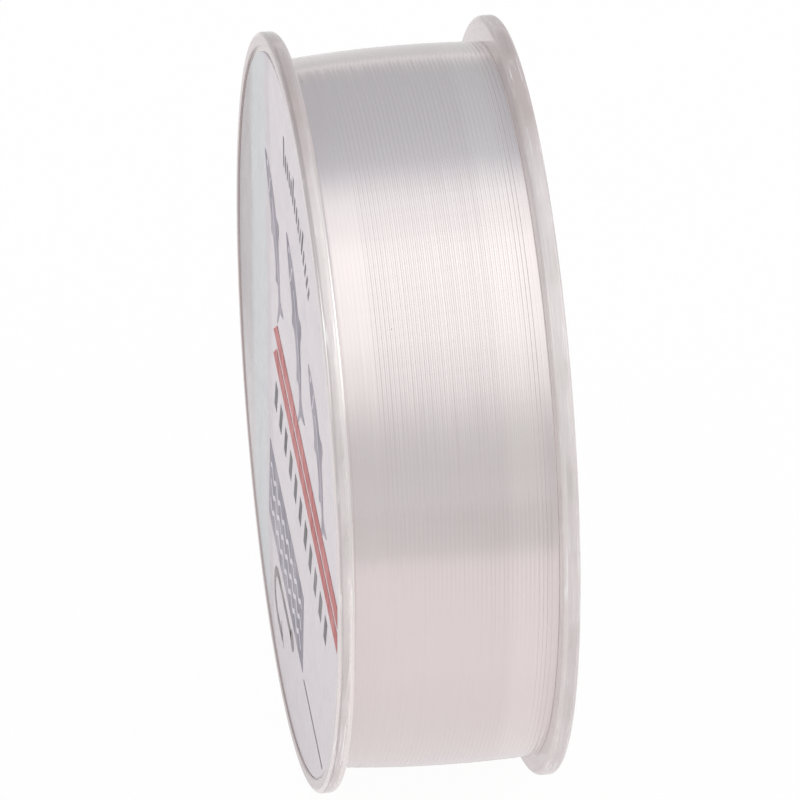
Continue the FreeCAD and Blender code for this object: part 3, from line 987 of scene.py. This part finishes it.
floor_mesh = bpy.data.meshes.new("floor")
floor_z = cad_box[0][2] - FLOOR_CLEAR
corners = ((-1, -1), (1, -1), (1, 1), (-1, 1))
floor_mesh.from_pydata([(x * FLOOR_HALF, y * FLOOR_HALF, floor_z) for x, y in corners],
                       [], [(0, 1, 2, 3)])
floor = bpy.data.objects.new("floor", floor_mesh)
bpy.context.scene.collection.objects.link(floor)
sheet = bpy.data.materials.new("white_sheet")
sheet.use_nodes = True
tree = sheet.node_tree
tree.nodes.clear()
place = add(tree, "ShaderNodeTexCoord").outputs["Object"]
axes = add(tree, "ShaderNodeSeparateXYZ", {"Vector": place}).outputs
distance = add(tree, "ShaderNodeVectorMath", {0: place}, operation="LENGTH").outputs["Value"]
paper = blend(tree, noise(tree, place, 40.0), colour(243, 240, 239), colour(248, 246, 245))
matt = add(tree, "ShaderNodeBsdfDiffuse", {"Color": paper})

# Each stop is a distance from the spool's middle, in millimetres, and the sheet's glow there: a
# painted shadow near the spool, painted shade far out.
floor_stops = ((12, 0.4), (20, 0.5), (30, 0.74), (42, 0.93), (60, 0.98), (150, 0.98),
               (190, 0.77))
glow_with_painted_shadow = ramp(tree, span(tree, distance, 0, FLOOR_REACH * MM, 0, 1),
             [(far / FLOOR_REACH, (light, light, light, 1)) for far, light in floor_stops])
# Painted shade: the glow is dimmer towards the rear and, a little, far towards the front.
painted_side_shade = product(tree, span(tree, axes["Y"], 15 * MM, 40 * MM, 1, 0.86),
                 span(tree, axes["Y"], -50 * MM, -30 * MM, 0.93, 1))
in_view = seen_by(tree, "Is Camera Ray")
strength = calculated(tree, "MAXIMUM", in_view, product(tree, glow_with_painted_shadow, painted_side_shade))
glow = blend(tree, span(tree, distance, 150 * MM, 200 * MM, 0, 1),
             (1, 0.965, 0.97, 1), (1, 1, 1.005, 1))
glow = blend(tree, in_view, glow, WHITE)
white = add(tree, "ShaderNodeEmission", {"Color": glow, "Strength": strength})
seen = seen_by(tree, "Is Camera Ray", "Is Glossy Ray", "Is Transmission Ray")
either = add(tree, "ShaderNodeMixShader", {0: span(tree, seen, 0, 1, 0, WHITE_SHARE),
                                           1: matt.outputs[0], 2: white.outputs[0]})
end = add(tree, "ShaderNodeOutputMaterial")
tree.links.new(either.outputs[0], end.inputs["Surface"])
floor_mesh.materials.append(sheet)


# Light: a white room with a wide soft ceiling, a cooler back wall and a darker front, and
# one large soft lamp above the spool.
world = bpy.data.worlds.new("studio")
bpy.context.scene.world = world
world.use_nodes = True
room = world.node_tree
room.nodes.clear()
toward = add(room, "ShaderNodeTexCoord").outputs["Generated"]
toward = add(room, "ShaderNodeSeparateXYZ", {"Vector": toward}).outputs
height_angle = calculated(room, "ARCTAN2", toward["Z"], toward["X"])

# Each stop is an angle above the front horizon, in degrees, and the room's light there.
wall_stops = ((-180, (0.98, 0.95, 0.95)), (-24, (0.98, 0.95, 0.95)), (-16, (0.78, 0.79, 0.79)),
              (0, (0.76, 0.775, 0.775)), (14, (0.71, 0.725, 0.725)), (22, (0.75, 0.77, 0.77)),
              (29, (0.88, 0.905, 0.90)), (38, (1.13, 1.15, 1.14)), (51, (1.30, 1.32, 1.31)),
              (53, (1.37, 1.395, 1.38)), (80, (1.49, 1.515, 1.50)), (87, (1.445, 1.47, 1.46)),
              (89, (1.36, 1.385, 1.38)), (103, (1.23, 1.265, 1.275)), (110, (0.96, 1.01, 1.035)),
              (118, (0.665, 0.72, 0.775)), (134, (0.585, 0.63, 0.665)), (165, (0.53, 0.56, 0.585)),
              (174, (0.57, 0.58, 0.59)), (180, (0.90, 0.88, 0.88)))
walls = ramp(room, span(room, height_angle, -math.pi, math.pi, 0, 1),
             [((degrees + 180) / 360, (*light, 1)) for degrees, light in wall_stops])

# The ceiling dims on its way to the sides. The front is darker, its low part a little less
# so, and the upper sides are brighter.
sideways = calculated(room, "ABSOLUTE", toward["Y"])
overhead = span(room, toward["Z"], 0.15, 0.5, 0, 1)
away = product(room, span(room, sideways, 0.2, 0.45, 0, 0.7),
               span(room, sideways, 0.62, 0.78, 1, 0.1))
ceiling = blend(room, product(room, overhead, away), walls, (0.7, 0.69, 0.7, 1))
front_dim = span(room, toward["Y"], -0.75, 0.1, 0.66, 1)
low_front = product(room, span(room, toward["Y"], -0.1, 0.06, 0.11, 0),
                    span(room, toward["Z"], 0.3, 0.6, 1, 0))
high_side = product(room, span(room, sideways, 0.6, 0.8, 0, 0.5),
                    span(room, toward["Z"], 0.3, 0.5, 0, 1))
room_light = calculated(room, "ADD", calculated(room, "ADD", low_front, high_side), front_dim)
lit_room = add(room, "ShaderNodeBackground", {"Color": ceiling, "Strength": room_light})
plain = add(room, "ShaderNodeBackground", {"Color": WHITE, "Strength": 1.0})
seen = seen_by(room, "Is Camera Ray", "Is Transmission Ray")
either = add(room, "ShaderNodeMixShader", {0: seen, 1: lit_room.outputs[0],
                                           2: plain.outputs[0]})
end = add(room, "ShaderNodeOutputWorld")
room.links.new(either.outputs[0], end.inputs["Surface"])

SOFTBOX_SIZE = 1.6
SOFTBOX_PLACE = Vector((0.9, 0.1, 0.85))
SOFTBOX_WATTS = 3.0
softbox_data = bpy.data.lights.new("softbox", "AREA")
softbox_data.shape = "SQUARE"
softbox_data.size = SOFTBOX_SIZE
softbox_data.energy = SOFTBOX_WATTS
softbox = bpy.data.objects.new("softbox", softbox_data)
softbox.visible_glossy = False
bpy.context.scene.collection.objects.link(softbox)
softbox.location = SOFTBOX_PLACE
softbox.rotation_euler = (-SOFTBOX_PLACE).to_track_quat("-Z", "Y").to_euler()


# Camera: a long lens, a little above the spool and nearly square to the winding. No
# reflection is blurred by the renderer, so that the fine lines between the turns show.
CAMERA_AZIMUTH = math.radians(81.74)
CAMERA_ELEVATION = math.radians(33.1)
CAMERA_DISTANCE = 1000 * MM
CAMERA_ASIDE = -0.35 * MM
CAMERA_UP = 0.33 * MM
LENS = 490.5
CLIP_START = 10 * MM
CLIP_END = 20.0
BOUNCES = 24

toward_camera = Vector((math.sin(CAMERA_AZIMUTH) * math.cos(CAMERA_ELEVATION),
                        -math.cos(CAMERA_AZIMUTH) * math.cos(CAMERA_ELEVATION),
                        math.sin(CAMERA_ELEVATION)))
aside = Vector((math.cos(CAMERA_AZIMUTH), math.sin(CAMERA_AZIMUTH), 0))
upward = toward_camera.cross(aside)
camera_data = bpy.data.cameras.new("camera")
camera_data.lens = LENS
camera_data.clip_start = CLIP_START
camera_data.clip_end = CLIP_END
camera = bpy.data.objects.new("camera", camera_data)
bpy.context.scene.collection.objects.link(camera)
camera.location = (toward_camera * CAMERA_DISTANCE + aside * CAMERA_ASIDE
                   + upward * CAMERA_UP)
camera.rotation_euler = (-toward_camera).to_track_quat("-Z", "Y").to_euler()
bpy.context.scene.camera = camera
bpy.context.scene.view_settings.view_transform = "Standard"
bpy.context.scene.cycles.max_bounces = BOUNCES
bpy.context.scene.cycles.transmission_bounces = BOUNCES
bpy.context.scene.cycles.blur_glossy = 0.0
